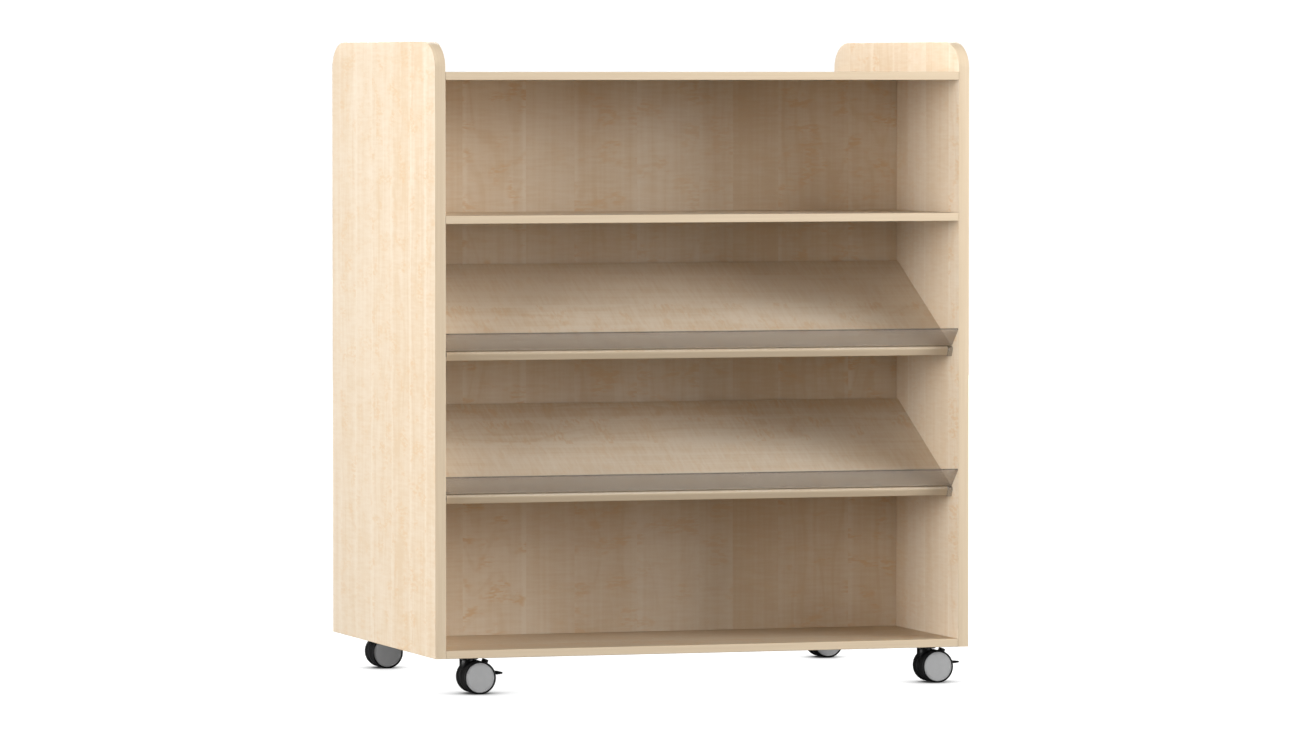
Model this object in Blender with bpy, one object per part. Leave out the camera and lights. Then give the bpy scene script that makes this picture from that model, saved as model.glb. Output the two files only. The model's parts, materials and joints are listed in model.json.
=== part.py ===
"""Double-sided book trolley: a maple laminate carcass on four twin-wheel swivel casters.

Units are metres and +Z is up. The front faces -Y and the origin lies on the floor, below the middle of
the carcass. Every named object is one piece of the trolley. Pieces that meet keep the gap FIT.
"""

from math import cos, pi, radians, sin

import bmesh
import bpy
from mathutils import Matrix, Vector

# Carcass: overall sizes and boards
WIDTH = 1.100
DEPTH = 0.766
SIDE_HEIGHT = 1.200
SIDE_T = 0.022
BOARD_T = 0.016
DIVIDER_T = 0.022
EDGE_EASE = 0.0012
FIT = 0.0003

# Ears: the side panels stand above the top panel and have rounded upper corners
EAR_HEIGHT = 0.0595
EAR_RUN = 0.085
EAR_RISE = 0.053

# Bays, counted down from the top panel
TOP_BAY = 0.263
SLANT_HEADROOM = 0.0877
SLANT_PITCH = 0.2788

# Slanted shelves and the clear lips that stand in their grooves
SLOPE = radians(26.5)
SLANT_FRONT_INSET = 0.0326
SLANT_NOSE = 0.003
LIP_T = 0.004
LIP_STAND = 0.053
LIP_ANGLE = radians(112)
LIP_SETBACK = 0.0072
GROOVE_DEPTH = 0.008

# Casters: places under the bottom panel, swivel and wheels
CASTER_INSET_X = 0.077
CASTER_INSET_Y = 0.045
WHEEL_D = 0.065
WHEEL_W = 0.023
WHEEL_HEADROOM = 0.007
WHEEL_GAP = 0.0008
TRAIL = 0.018
TREAD_ROUND = 0.002
RIM_T = 0.0032
WEB_T = 0.003
DISC_RECESS = 0.008
DISC_T = 0.004
DISC_DOME = 0.0008
DISC_SKIRT = 0.004
HUB_D = 0.014
AXLE_D = 0.006
AXLE_HEAD_D = 0.010
AXLE_HEAD_T = 0.0012

# Caster plate, king pin and swivel bush
PLATE_SIZE = 0.038
PLATE_T = 0.0025
PLATE_CORNER = 0.005
SCREW_SPACING = 0.028
SCREW_HOLE_D = 0.0045
KING_PIN_D = 0.008
KING_HEAD_D = 0.014
KING_HEAD_T = 0.001
KING_PIN_REACH = 0.024
KING_NECK_D = 0.0064
KING_NECK_W = 0.0025
KING_TIP = 0.004
BUSH_D = 0.022
BUSH_T = 0.0015
BUSH_SUNK = 0.001

# Caster housing: a head under the plate and a spine between the wheels
HEAD_D = 0.030
HEAD_H = 0.018
SPINE_T = 0.014
SPINE_SHY = 0.001
BOSS_D = 0.020
HOOD_CLEAR = 0.001
SPINE_LOW_END = radians(230)
SPINE_TOP_BRAKED = radians(86)
SPINE_TOP_PLAIN = radians(25)
SPINE_SHOULDER = radians(12)

# Brake pedal: a rocker on a pin, with a foot tab on a web, a release block and lugs in the wheel rims
PEDAL_TRAVEL = radians(12)
PIVOT_SETBACK = 0.0085
PIVOT_ANGLE = radians(38)
BRAKE_PIN_D = 0.004
TONGUE_R = 0.005
TONGUE_SWING = 0.002
CHEEK_T = 0.0036
PEDAL_DEPTH = 0.014
PEDAL_LOW = radians(-10)
PEDAL_HIGH = radians(68)
LUG_D = 0.0044
LUG_REACH = 0.008
LUG_ANGLE = radians(58)
BRAKE_GAP = 0.0004
BLOCK_W = 0.0095
BLOCK_STAND = 0.0136
BLOCK_ROOT = 0.0055
BLOCK_ANGLE = radians(56)
BLOCK_TILT = radians(68)
TAB_REACH = 0.018
TAB_T = 0.0065
TAB_TIP_T = 0.0035
TAB_RISE = 0.0042
PAD_SETBACK = 0.006
PAD_W = 0.026
WEB_RUN = 0.0042
WEB_ANGLE = radians(-8)

# Facets of the round pieces
WHEEL_SIDES = 28
PIN_SIDES = 12
HEAD_SIDES = 24
SCREW_SIDES = 8
EAR_STEPS = 8
EASE_STEPS = 2

# Sizes that follow from the ones above
WHEEL_R = WHEEL_D / 2
RIM_R = WHEEL_R - RIM_T
AXLE_DROP = WHEEL_HEADROOM + WHEEL_R
UNDERSIDE = WHEEL_HEADROOM + WHEEL_D
TOP_PANEL_TOP = SIDE_HEIGHT - EAR_HEIGHT
FLAT_SHELF_TOP = TOP_PANEL_TOP - BOARD_T - TOP_BAY
INNER_HALF = WIDTH / 2 - SIDE_T - FIT
PLATE_UNDERSIDE = -FIT - PLATE_T
BUSH_TOP = PLATE_UNDERSIDE - FIT
BUSH_BOTTOM = BUSH_TOP - BUSH_T
HEAD_TOP = BUSH_BOTTOM - FIT + BUSH_SUNK
WHEEL_INNER_FACE = SPINE_T / 2 + WHEEL_GAP
WEB_OUTER = WHEEL_W - DISC_RECESS
AXLE = Vector((TRAIL, -AXLE_DROP))
PIVOT_R = RIM_R - PIVOT_SETBACK
PEDAL_OUTER_R = WHEEL_R - SPINE_SHY


def remove_everything():
    for thing in list(bpy.data.objects):
        bpy.data.objects.remove(thing, do_unlink=True)


def finish(name, colour, roughness, metallic=0.0, alpha=1.0):
    """A plain Principled material for one of the trolley's finishes."""
    material = bpy.data.materials.new(name)
    material.use_nodes = True
    shader = material.node_tree.nodes["Principled BSDF"]
    shader.inputs["Base Color"].default_value = (*colour, 1.0)
    shader.inputs["Roughness"].default_value = roughness
    shader.inputs["Metallic"].default_value = metallic
    shader.inputs["Alpha"].default_value = alpha
    material.diffuse_color = (*colour, alpha)
    return material


def polar(centre, radius, angle):
    return centre + Vector((cos(angle), sin(angle))) * radius


def arc(centre, radius, start, end, steps):
    return [polar(centre, radius, start + (end - start) * i / steps) for i in range(steps + 1)]


def eased(corners):
    """An outline from (corner, ease) pairs: a corner is rounded from `ease` away, or sharp if that is 0."""
    points = []
    for i, (corner, ease) in enumerate(corners):
        if not ease:
            points.append(corner)
            continue
        back = (corners[i - 1][0] - corner).normalized()
        onward = (corners[(i + 1) % len(corners)][0] - corner).normalized()
        middle = (back + onward).normalized()
        centre = corner + middle * (ease / middle.dot(back))
        arm = corner + back * ease - centre
        sweep = arm.angle_signed(corner + onward * ease - centre)
        for step in range(EASE_STEPS + 1):
            turn = Matrix.Rotation(-sweep * step / EASE_STEPS, 2)
            points.append(centre + turn @ arm)
    return points


def prism(outline, axis, start, end):
    """A straight extrusion along X, Y or Z; the outline holds the other two coordinates in order."""
    order = {"X": (2, 0, 1), "Y": (0, 2, 1), "Z": (0, 1, 2)}[axis]

    def place(u, v, along):
        values = (u, v, along)
        return Vector([values[i] for i in order])

    bm = bmesh.new()
    cap = bm.faces.new([bm.verts.new(place(u, v, start)) for u, v in outline])
    grown = bmesh.ops.extrude_face_region(bm, geom=[cap])["geom"]
    moved = [item for item in grown if isinstance(item, bmesh.types.BMVert)]
    bmesh.ops.translate(bm, verts=moved, vec=place(0, 0, end - start))
    bmesh.ops.recalc_face_normals(bm, faces=bm.faces)
    return bm


def turned(profile, axis, sides, centre=(0, 0, 0)):
    """A turned body. Profile points are (radius, along); flats, not corners, lie at the given radius."""
    along = {"Y": Vector((0, 1, 0)), "Z": Vector((0, 0, 1))}[axis]
    down = {"Y": Vector((0, 0, -1)), "Z": Vector((0, -1, 0))}[axis]
    outward = Matrix.Rotation(pi / sides, 3, along) @ down / cos(pi / sides)
    bm = bmesh.new()
    verts = [bm.verts.new(outward * radius + along * height) for radius, height in profile]
    edges = [bm.edges.new(pair) for pair in zip(verts, verts[1:])]
    is_ring = profile[0][0] > 0
    if is_ring:
        edges.append(bm.edges.new((verts[-1], verts[0])))
    bmesh.ops.spin(bm, geom=verts + edges, axis=along, cent=(0, 0, 0), angle=2 * pi, steps=sides)
    bmesh.ops.remove_doubles(bm, verts=bm.verts, dist=1e-6)
    bmesh.ops.recalc_face_normals(bm, faces=bm.faces)
    bmesh.ops.translate(bm, verts=bm.verts, vec=centre)
    return bm


def rod(axis, radius, start, end, sides, centre=(0, 0, 0)):
    return turned([(0, start), (radius, start), (radius, end), (0, end)], axis, sides, centre)


def at(flat, along=0.0):
    """The point of the caster's frame that lies at `flat`, which is (x, z), and `along` on Y."""
    return Vector((flat[0], along, flat[1]))


def carve(body, joined=(), cuts=()):
    """One closed mesh: a body with other solids joined to it, and then some cut away."""
    def scratch(bm):
        mesh = bpy.data.meshes.new("scratch")
        bm.to_mesh(mesh)
        bm.free()
        thing = bpy.data.objects.new("scratch", mesh)
        bpy.context.collection.objects.link(thing)
        return thing

    host = scratch(body)
    used = [host]
    for operation, solids in (("UNION", joined), ("DIFFERENCE", cuts)):
        for solid in solids:
            tool = scratch(solid)
            used.append(tool)
            modifier = host.modifiers.new("carve", "BOOLEAN")
            modifier.operation = operation
            modifier.solver = "EXACT"
            modifier.object = tool
    graph = bpy.context.evaluated_depsgraph_get()
    mesh = bpy.data.meshes.new_from_object(host.evaluated_get(graph))
    for thing in used:
        bpy.data.objects.remove(thing, do_unlink=True)
    bm = bmesh.new()
    bm.from_mesh(mesh)
    bmesh.ops.remove_doubles(bm, verts=bm.verts, dist=1e-6)
    bmesh.ops.dissolve_degenerate(bm, edges=bm.edges, dist=1e-6)
    return bm


def make_mesh(name, bm, material, origin=(0, 0, 0), crease=radians(40)):
    """A finished mesh whose own origin lies at `origin`."""
    bmesh.ops.translate(bm, verts=bm.verts, vec=-Vector(origin))
    mesh = bpy.data.meshes.new(name)
    bm.to_mesh(mesh)
    bm.free()
    mesh.materials.append(material)
    mesh.shade_smooth()
    mesh.set_sharp_from_angle(angle=crease)
    return mesh


def add_piece(name, mesh, location=(0, 0, 0), parent=None, turn=0.0):
    piece = bpy.data.objects.new(name, mesh)
    piece.location = location
    piece.rotation_euler = (0, 0, turn)
    piece.parent = parent
    bpy.context.collection.objects.link(piece)
    return piece


def add_empty(name, location, parent=None):
    empty = bpy.data.objects.new(name, None)
    empty.location = location
    empty.parent = parent
    bpy.context.collection.objects.link(empty)
    return empty


def side_panel_outline():
    """Depth and height of a side panel: a tall board with quarter-oval upper corners."""
    half = DEPTH / 2
    outline = [Vector((-half, 0)), Vector((half, 0))]
    for hand in (1, -1):
        corner = []
        for i in range(EAR_STEPS + 1):
            angle = pi / 2 * i / EAR_STEPS
            y = hand * (half - EAR_RUN + EAR_RUN * cos(angle))
            z = SIDE_HEIGHT - EAR_RISE + EAR_RISE * sin(angle)
            corner.append(Vector((y, z)))
        outline += corner if hand > 0 else corner[::-1]
    return outline


def add_side_panels(carcass, laminate):
    for name, hand in (("left_side_panel", -1), ("right_side_panel", 1)):
        bm = prism(side_panel_outline(), "X", -SIDE_T / 2, SIDE_T / 2)
        rims = [edge for edge in bm.edges if abs(edge.verts[0].co.x - edge.verts[1].co.x) < FIT]
        bmesh.ops.bevel(bm, geom=rims, offset=EDGE_EASE, segments=EASE_STEPS, profile=0.5, affect="EDGES")
        add_piece(name, make_mesh(name, bm, laminate), (hand * (WIDTH - SIDE_T) / 2, 0, 0), carcass)


def add_flat_board(name, carcass, laminate, front, rear, top, front_ease=EDGE_EASE, rear_ease=EDGE_EASE):
    """A level board between the side panels, from `front` to `rear`, with eased open edges."""
    low = top - BOARD_T
    corners = [(Vector((front, low)), front_ease), (Vector((rear, low)), rear_ease),
               (Vector((rear, top)), rear_ease), (Vector((front, top)), front_ease)]
    bm = prism(eased(corners), "X", -INNER_HALF, INNER_HALF)
    add_piece(name, make_mesh(name, bm, laminate), (0, 0, 0), carcass)


def add_level_boards(carcass, laminate):
    half = DEPTH / 2
    back = DIVIDER_T / 2 + FIT
    add_flat_board("top_panel", carcass, laminate, -half, half, TOP_PANEL_TOP)
    add_flat_board("bottom_panel", carcass, laminate, -half, half, BOARD_T)
    add_flat_board("front_flat_shelf", carcass, laminate, -half, -back, FLAT_SHELF_TOP, rear_ease=0)
    add_flat_board("rear_flat_shelf", carcass, laminate, back, half, FLAT_SHELF_TOP, front_ease=0)


def add_divider(carcass, laminate):
    low = BOARD_T + FIT
    high = TOP_PANEL_TOP - BOARD_T - FIT
    half = DIVIDER_T / 2
    outline = [Vector((-half, low)), Vector((half, low)), Vector((half, high)), Vector((-half, high))]
    bm = prism(outline, "X", -INNER_HALF, INNER_HALF)
    add_piece("centre_divider", make_mesh("centre_divider", bm, laminate), (0, 0, 0), carcass)


def slanted_shelf_and_lip(rear_top):
    """Outlines of a front slanted shelf, with its groove, and of the lip that stands in it."""
    uphill = Vector((cos(SLOPE), sin(SLOPE)))
    normal = Vector((-sin(SLOPE), cos(SLOPE)))
    lean = Vector((cos(SLOPE + LIP_ANGLE), sin(SLOPE + LIP_ANGLE)))
    across = Vector((lean.y, -lean.x))
    rear = Vector((-DIVIDER_T / 2 - FIT - BOARD_T * sin(SLOPE), rear_top))
    length = (rear.x + DEPTH / 2 - SLANT_FRONT_INSET) / cos(SLOPE)
    front = rear - uphill * length

    groove = (LIP_T + 2 * FIT) / sin(LIP_ANGLE)
    mouth_front = front + uphill * LIP_SETBACK
    mouth_rear = mouth_front + uphill * groove
    plunge = lean * (GROOVE_DEPTH / sin(LIP_ANGLE))
    shelf = eased([(front - normal * BOARD_T, EDGE_EASE),
                   (rear - normal * BOARD_T, 0),
                   (rear, 0),
                   (mouth_rear, 0),
                   (mouth_rear - plunge, 0),
                   (mouth_front - plunge, 0),
                   (mouth_front, 0),
                   (front, SLANT_NOSE)])

    middle = mouth_front + uphill * (groove / 2)
    tilt_loss = LIP_T / 2 * abs(cos(LIP_ANGLE))
    foot = middle - lean * ((GROOVE_DEPTH - FIT - tilt_loss) / sin(LIP_ANGLE))
    head = middle + lean * LIP_STAND
    half = across * (LIP_T / 2)
    lip = eased([(foot - half, 0), (foot + half, 0), (head + half, EDGE_EASE), (head - half, EDGE_EASE)])
    return shelf, lip


def add_slanted_shelves(carcass, laminate, acrylic):
    first = FLAT_SHELF_TOP - BOARD_T - SLANT_HEADROOM
    for level, rear_top in (("upper", first), ("lower", first - SLANT_PITCH)):
        outlines = slanted_shelf_and_lip(rear_top)
        for side, hand in (("front", 1), ("rear", -1)):
            kinds = (("slanted_shelf", laminate), ("shelf_lip", acrylic))
            for (kind, material), outline in zip(kinds, outlines):
                name = f"{side}_{level}_{kind}"
                bm = prism([(y * hand, z) for y, z in outline], "X", -INNER_HALF, INNER_HALF)
                add_piece(name, make_mesh(name, bm, material), (0, 0, 0), carcass)


def king_pin_profile(grow):
    """The turned king pin from its tip to its head; `grow` widens it into the bore that it turns in."""
    shank = KING_PIN_D / 2 + grow
    neck = KING_NECK_D / 2 + grow
    tip = -KING_PIN_REACH - grow
    neck_low = -KING_PIN_REACH + KING_TIP + grow
    neck_high = -KING_PIN_REACH + KING_TIP + KING_NECK_W - grow
    head_low = -FIT - KING_HEAD_T - grow
    return [(0, tip), (shank, tip), (shank, neck_low), (neck, neck_low), (neck, neck_high),
            (shank, neck_high), (shank, head_low), (KING_HEAD_D / 2 + grow, head_low),
            (KING_HEAD_D / 2 + grow, -FIT + grow), (0, -FIT + grow)]


def caster_plate(painted):
    half = PLATE_SIZE / 2
    signs = ((-1, -1), (1, -1), (1, 1), (-1, 1))
    outline = eased([(Vector((x, y)) * half, PLATE_CORNER) for x, y in signs])
    holes = [turned(king_pin_profile(FIT), "Z", PIN_SIDES)]
    for x, y in signs:
        centre = (x * SCREW_SPACING / 2, y * SCREW_SPACING / 2, 0)
        holes.append(rod("Z", SCREW_HOLE_D / 2, PLATE_UNDERSIDE - FIT, FIT, SCREW_SIDES, centre))
    bm = carve(prism(outline, "Z", PLATE_UNDERSIDE, -FIT), cuts=holes)
    return make_mesh("caster_plate", bm, painted)


def swivel_bush(nylon):
    bore = KING_PIN_D / 2 + FIT
    outer = BUSH_D / 2
    ring = [(bore, BUSH_BOTTOM), (outer, BUSH_BOTTOM), (outer, BUSH_TOP), (bore, BUSH_TOP)]
    return make_mesh("swivel_bush", turned(ring, "Z", PIN_SIDES), nylon)


def pivot_place():
    return polar(AXLE, PIVOT_R, PIVOT_ANGLE)


def tongue_thickness():
    return SPINE_T - 2 * (CHEEK_T + FIT)


def reach_from_pivot(radius):
    """Outline of a round-ended strip that runs from the brake pivot to the axle."""
    pivot = pivot_place()
    side = Vector((-sin(PIVOT_ANGLE), cos(PIVOT_ANGLE))) * radius
    tip = arc(pivot, radius, PIVOT_ANGLE - pi / 2, PIVOT_ANGLE + pi / 2, PIN_SIDES // 2)
    return tip + [AXLE + side, AXLE - side]


def caster_housing(plastic, is_braked):
    """Head, spine and axle boss in one moulding, hollowed where the wheels turn under the head."""
    spine_top = SPINE_TOP_BRAKED if is_braked else SPINE_TOP_PLAIN
    spine = arc(AXLE, WHEEL_R - SPINE_SHY, spine_top, SPINE_LOW_END, WHEEL_SIDES // 2)
    boss_start = SPINE_LOW_END + SPINE_SHOULDER
    boss_end = 2 * pi + spine_top - SPINE_SHOULDER
    spine += arc(AXLE, BOSS_D / 2, boss_start, boss_end, PIN_SIDES // 2)
    head = rod("Z", HEAD_D / 2, HEAD_TOP - HEAD_H, HEAD_TOP, HEAD_SIDES)

    beyond = SPINE_T / 2 + HEAD_D
    swept = WHEEL_R / cos(pi / WHEEL_SIDES) + HOOD_CLEAR
    wells = [rod("Y", swept, start, end, HEAD_SIDES, at(AXLE))
             for start, end in ((-beyond, -SPINE_T / 2), (SPINE_T / 2, beyond))]
    bores = [turned(king_pin_profile(FIT), "Z", PIN_SIDES),
             rod("Z", BUSH_D / 2 + FIT, BUSH_BOTTOM - FIT, FIT, PIN_SIDES),
             rod("Y", AXLE_D / 2 + FIT, -SPINE_T, SPINE_T, PIN_SIDES, at(AXLE))]
    joined = [head]
    if is_braked:
        thin = tongue_thickness() / 2
        joined.append(prism(reach_from_pivot(TONGUE_R), "Y", -thin, thin))
        bores.append(rod("Y", BRAKE_PIN_D / 2 + FIT, -SPINE_T, SPINE_T, PIN_SIDES, at(pivot_place())))
    bm = carve(prism(spine, "Y", -SPINE_T / 2, SPINE_T / 2), joined, wells + bores)
    return make_mesh("caster_housing", bm, plastic)


def axle_pin(steel):
    shaft = AXLE_D / 2
    head = AXLE_HEAD_D / 2
    inner = WHEEL_INNER_FACE + WEB_OUTER + FIT
    outer = inner + AXLE_HEAD_T
    half = [(shaft, inner), (head, inner), (head, outer), (0, outer)]
    profile = [(radius, -along) for radius, along in half[::-1]] + half
    return make_mesh("axle", turned(profile, "Y", PIN_SIDES), steel)


def wheel_mesh(plastic):
    """Turned wheel: bored hub, thin web, rim with a rounded tread; hollow towards the housing."""
    bore = AXLE_D / 2 + FIT
    hub = HUB_D / 2
    web_inner = WEB_OUTER - WEB_T
    shoulder = WHEEL_R - TREAD_ROUND
    profile = [(bore, 0), (hub, 0), (hub, web_inner), (RIM_R, web_inner), (RIM_R, 0),
               (shoulder, 0), (WHEEL_R, TREAD_ROUND), (WHEEL_R, WHEEL_W - TREAD_ROUND),
               (shoulder, WHEEL_W), (RIM_R, WHEEL_W), (RIM_R, WEB_OUTER), (bore, WEB_OUTER)]
    return make_mesh("wheel", turned(profile, "Y", WHEEL_SIDES), plastic)


def hub_disc(grey):
    """Round cover with a slight dome; its skirt stands on the wheel's web."""
    edge = RIM_R - FIT
    face = WHEEL_W - DISC_DOME
    back = face - DISC_T
    foot = WEB_OUTER + FIT
    inside = edge - DISC_SKIRT
    profile = [(0, back), (inside, back), (inside, foot), (edge, foot), (edge, face - TREAD_ROUND),
               (edge - TREAD_ROUND, face), (0, face + DISC_DOME)]
    return make_mesh("hub_disc", turned(profile, "Y", WHEEL_SIDES), grey)


def pedal_turned(point, angle):
    """Where a point of the pedal goes when the tab is pressed down by `angle`."""
    pivot = pivot_place()
    return pivot + Matrix.Rotation(-angle, 2) @ (point - pivot)


def pedal_block():
    """Release block: a small post that stands up behind the wheels' crown."""
    root = polar(AXLE, PEDAL_OUTER_R - BLOCK_ROOT, BLOCK_ANGLE)
    stand = Vector((cos(BLOCK_TILT), sin(BLOCK_TILT))) * BLOCK_STAND
    half = Vector((sin(BLOCK_TILT), -cos(BLOCK_TILT))) * (BLOCK_W / 2)
    return eased([(root - half, 0), (root + half, 0), (root + half + stand, EDGE_EASE),
                  (root - half + stand, EDGE_EASE)])


def pedal_tab(start):
    """Foot tab: a tapered blade from `start` to its tip, given as distances from the axle."""
    tip = WHEEL_R + TAB_REACH
    low = TAB_RISE
    high = TAB_RISE + TAB_T
    drop = TAB_T - TAB_TIP_T
    corners = [((start, low), 0), ((tip, low + drop / 2), EDGE_EASE),
               ((tip, high - drop / 2), EDGE_EASE), ((start, high), 0)]
    return eased([(AXLE + Vector(corner), ease) for corner, ease in corners])


def pedal_web():
    """Web under the foot tab, which carries the foot's load down into the pedal's arc."""
    inner = PEDAL_OUTER_R - BLOCK_ROOT
    outer = WHEEL_R + WEB_RUN
    inside_tab = TAB_RISE + TAB_T / 2
    return [AXLE + Vector((inner, inside_tab)), polar(AXLE, inner, WEB_ANGLE),
            polar(AXLE, PEDAL_OUTER_R, WEB_ANGLE), AXLE + Vector((outer, TAB_RISE)),
            AXLE + Vector((outer, inside_tab))]


def brake_pedal(plastic):
    half = SPINE_T / 2
    inner = PEDAL_OUTER_R - PEDAL_DEPTH
    steps = WHEEL_SIDES // 2
    band = arc(AXLE, PEDAL_OUTER_R, PEDAL_LOW, PEDAL_HIGH, steps)
    band += arc(AXLE, inner, PEDAL_HIGH, PEDAL_LOW, steps)

    locked = polar(AXLE, RIM_R - BRAKE_GAP - LUG_D / 2, LUG_ANGLE)
    lug = pedal_turned(locked, -PEDAL_TRAVEL)
    lug_end = WHEEL_INNER_FACE + LUG_REACH
    joined = [prism(pedal_block(), "Y", -half, half),
              prism(pedal_tab(PEDAL_OUTER_R - BLOCK_ROOT), "Y", -half, half),
              prism(pedal_web(), "Y", -half, half),
              prism(pedal_tab(WHEEL_R + PAD_SETBACK), "Y", -PAD_W / 2, PAD_W / 2),
              rod("Y", LUG_D / 2, -lug_end, lug_end, PIN_SIDES, at(lug))]

    slot = tongue_thickness() / 2 + FIT
    cuts = [prism(reach_from_pivot(TONGUE_R + TONGUE_SWING), "Y", -slot, slot),
            rod("Y", BRAKE_PIN_D / 2 + FIT, -SPINE_T, SPINE_T, PIN_SIDES, at(pivot_place()))]
    bm = carve(prism(band, "Y", -half, half), joined, cuts)
    return make_mesh("brake_pedal", bm, plastic, at(pivot_place()))


def add_casters(carcass, finishes):
    plastic = finishes["black_nylon"]
    steel = finishes["zinc_steel"]
    plate = caster_plate(finishes["black_steel"])
    king_pin = make_mesh("king_pin", turned(king_pin_profile(0.0), "Z", PIN_SIDES), steel)
    bush = swivel_bush(finishes["white_nylon"])
    housings = {is_braked: caster_housing(plastic, is_braked) for is_braked in (True, False)}
    axle = axle_pin(steel)
    wheel = wheel_mesh(finishes["black_tread"])
    disc = hub_disc(finishes["grey_disc"])
    pedal = brake_pedal(plastic)
    pin_rod = rod("Y", BRAKE_PIN_D / 2, -SPINE_T / 2, SPINE_T / 2, PIN_SIDES)
    brake_pin = make_mesh("brake_pin", pin_rod, steel)

    for row, depth_hand in (("front", -1), ("rear", 1)):
        for column, width_hand in (("left", -1), ("right", 1)):
            corner = f"{row}_{column}"
            is_braked = row == "front"
            x = width_hand * (WIDTH / 2 - CASTER_INSET_X)
            y = depth_hand * (DEPTH / 2 - CASTER_INSET_Y)
            swivel = add_empty(f"swivel_{corner}", (x, y, 0), carcass)
            add_piece(f"caster_plate_{corner}", plate, parent=swivel)
            add_piece(f"king_pin_{corner}", king_pin, parent=swivel)
            add_piece(f"swivel_bush_{corner}", bush, parent=swivel)
            add_piece(f"caster_housing_{corner}", housings[is_braked], parent=swivel)
            add_piece(f"axle_{corner}", axle, at(AXLE), swivel)
            for place, hand in (("outer", depth_hand), ("inner", -depth_hand)):
                turn = 0.0 if hand > 0 else pi
                spot = at(AXLE, hand * WHEEL_INNER_FACE)
                add_piece(f"{place}_wheel_{corner}", wheel, spot, swivel, turn)
                add_piece(f"{place}_hub_disc_{corner}", disc, spot, swivel, turn)
            if is_braked:
                add_piece(f"brake_pedal_{corner}", pedal, at(pivot_place()), swivel)
                add_piece(f"brake_pin_{corner}", brake_pin, at(pivot_place()), swivel)


def main():
    remove_everything()
    laminate = finish("maple_laminate", (0.78, 0.62, 0.42), 0.45)
    acrylic = finish("smoked_acrylic", (0.30, 0.27, 0.24), 0.08, alpha=0.5)
    caster_finishes = {
        "black_nylon": finish("black_nylon", (0.018, 0.018, 0.019), 0.42),
        "black_tread": finish("black_tread", (0.015, 0.015, 0.016), 0.62),
        "black_steel": finish("black_steel", (0.020, 0.020, 0.021), 0.45, metallic=0.4),
        "white_nylon": finish("white_nylon", (0.72, 0.71, 0.68), 0.50),
        "grey_disc": finish("grey_disc", (0.42, 0.42, 0.43), 0.38),
        "zinc_steel": finish("zinc_steel", (0.62, 0.62, 0.63), 0.32, metallic=1.0),
    }
    carcass = add_empty("carcass", (0, 0, UNDERSIDE))
    add_side_panels(carcass, laminate)
    add_level_boards(carcass, laminate)
    add_divider(carcass, laminate)
    add_slanted_shelves(carcass, laminate, acrylic)
    add_casters(carcass, caster_finishes)


main()
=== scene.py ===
# %% [markdown]
# A double-sided book trolley
#
# The trolley is a maple laminate bookcase on four twin-wheel casters. Its construction arrives as
# a fixed frame of solids, each at its real size and place. This lesson dresses that frame: it adds
# the finishes, softens what is moulded, turns finer wheels and puts in the screws.

import json
from math import cos, pi, radians, sin

import bmesh
import bpy
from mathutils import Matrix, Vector


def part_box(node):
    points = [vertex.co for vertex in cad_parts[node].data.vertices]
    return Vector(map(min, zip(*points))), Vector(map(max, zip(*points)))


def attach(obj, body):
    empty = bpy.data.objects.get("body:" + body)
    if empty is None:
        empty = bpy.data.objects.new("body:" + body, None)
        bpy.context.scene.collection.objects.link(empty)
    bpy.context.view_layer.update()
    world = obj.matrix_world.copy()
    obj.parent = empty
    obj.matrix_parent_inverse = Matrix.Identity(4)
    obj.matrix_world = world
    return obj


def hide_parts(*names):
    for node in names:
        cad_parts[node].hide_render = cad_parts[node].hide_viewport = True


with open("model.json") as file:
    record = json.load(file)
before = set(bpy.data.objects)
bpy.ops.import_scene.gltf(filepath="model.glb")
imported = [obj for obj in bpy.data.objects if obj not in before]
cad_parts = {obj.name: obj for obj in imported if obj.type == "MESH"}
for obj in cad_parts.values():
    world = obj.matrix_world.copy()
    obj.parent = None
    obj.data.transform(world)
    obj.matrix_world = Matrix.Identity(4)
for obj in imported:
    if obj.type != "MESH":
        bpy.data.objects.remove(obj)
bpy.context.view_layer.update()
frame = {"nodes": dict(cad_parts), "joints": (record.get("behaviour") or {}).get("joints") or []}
nodes = frame["nodes"]
joint_place = {joint["name"]: Vector(joint["pos_m"]) for joint in frame["joints"]}

# %% [markdown]
# The camera
#
# The product picture was taken with a long lens from about fifteen metres, a little to the left of
# the trolley and level with its top. A long lens keeps the uprights upright. The place and the two
# angles were solved from the carcass corners, so nothing has to be shifted or cropped.

# %% Camera
CAMERA_PLACE = (-4.5498, -14.5273, 1.2132)
CAMERA_HEADING = radians(17.416)
CAMERA_DIP = radians(2.221)
CAMERA_LENS_MM = 209.93
SENSOR_WIDTH_MM = 36.0


def add_camera():
    """The camera that takes the picture, at the place and angles that were solved."""
    data = bpy.data.cameras.new("studio_camera")
    data.lens = CAMERA_LENS_MM
    data.sensor_width = SENSOR_WIDTH_MM
    data.sensor_fit = "HORIZONTAL"
    camera = bpy.data.objects.new("studio_camera", data)
    camera.location = CAMERA_PLACE
    camera.rotation_euler = (pi / 2 - CAMERA_DIP, 0, -CAMERA_HEADING)
    bpy.context.scene.collection.objects.link(camera)
    bpy.context.scene.camera = camera
    return camera


camera = add_camera()
print("camera at", tuple(round(c, 2) for c in camera.location), "lens", camera.data.lens)

# %% [markdown]
# Node trees as arithmetic
#
# Finishes and repeated pieces are both node trees. Wiring them by hand is long, so two small
# classes do it: `Wire` is one output socket that can be added, multiplied and compared, and `Sheet`
# is a tree that can add any node. A formula such as `1 - mask` then adds its own Math nodes.

# %% Wires


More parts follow.
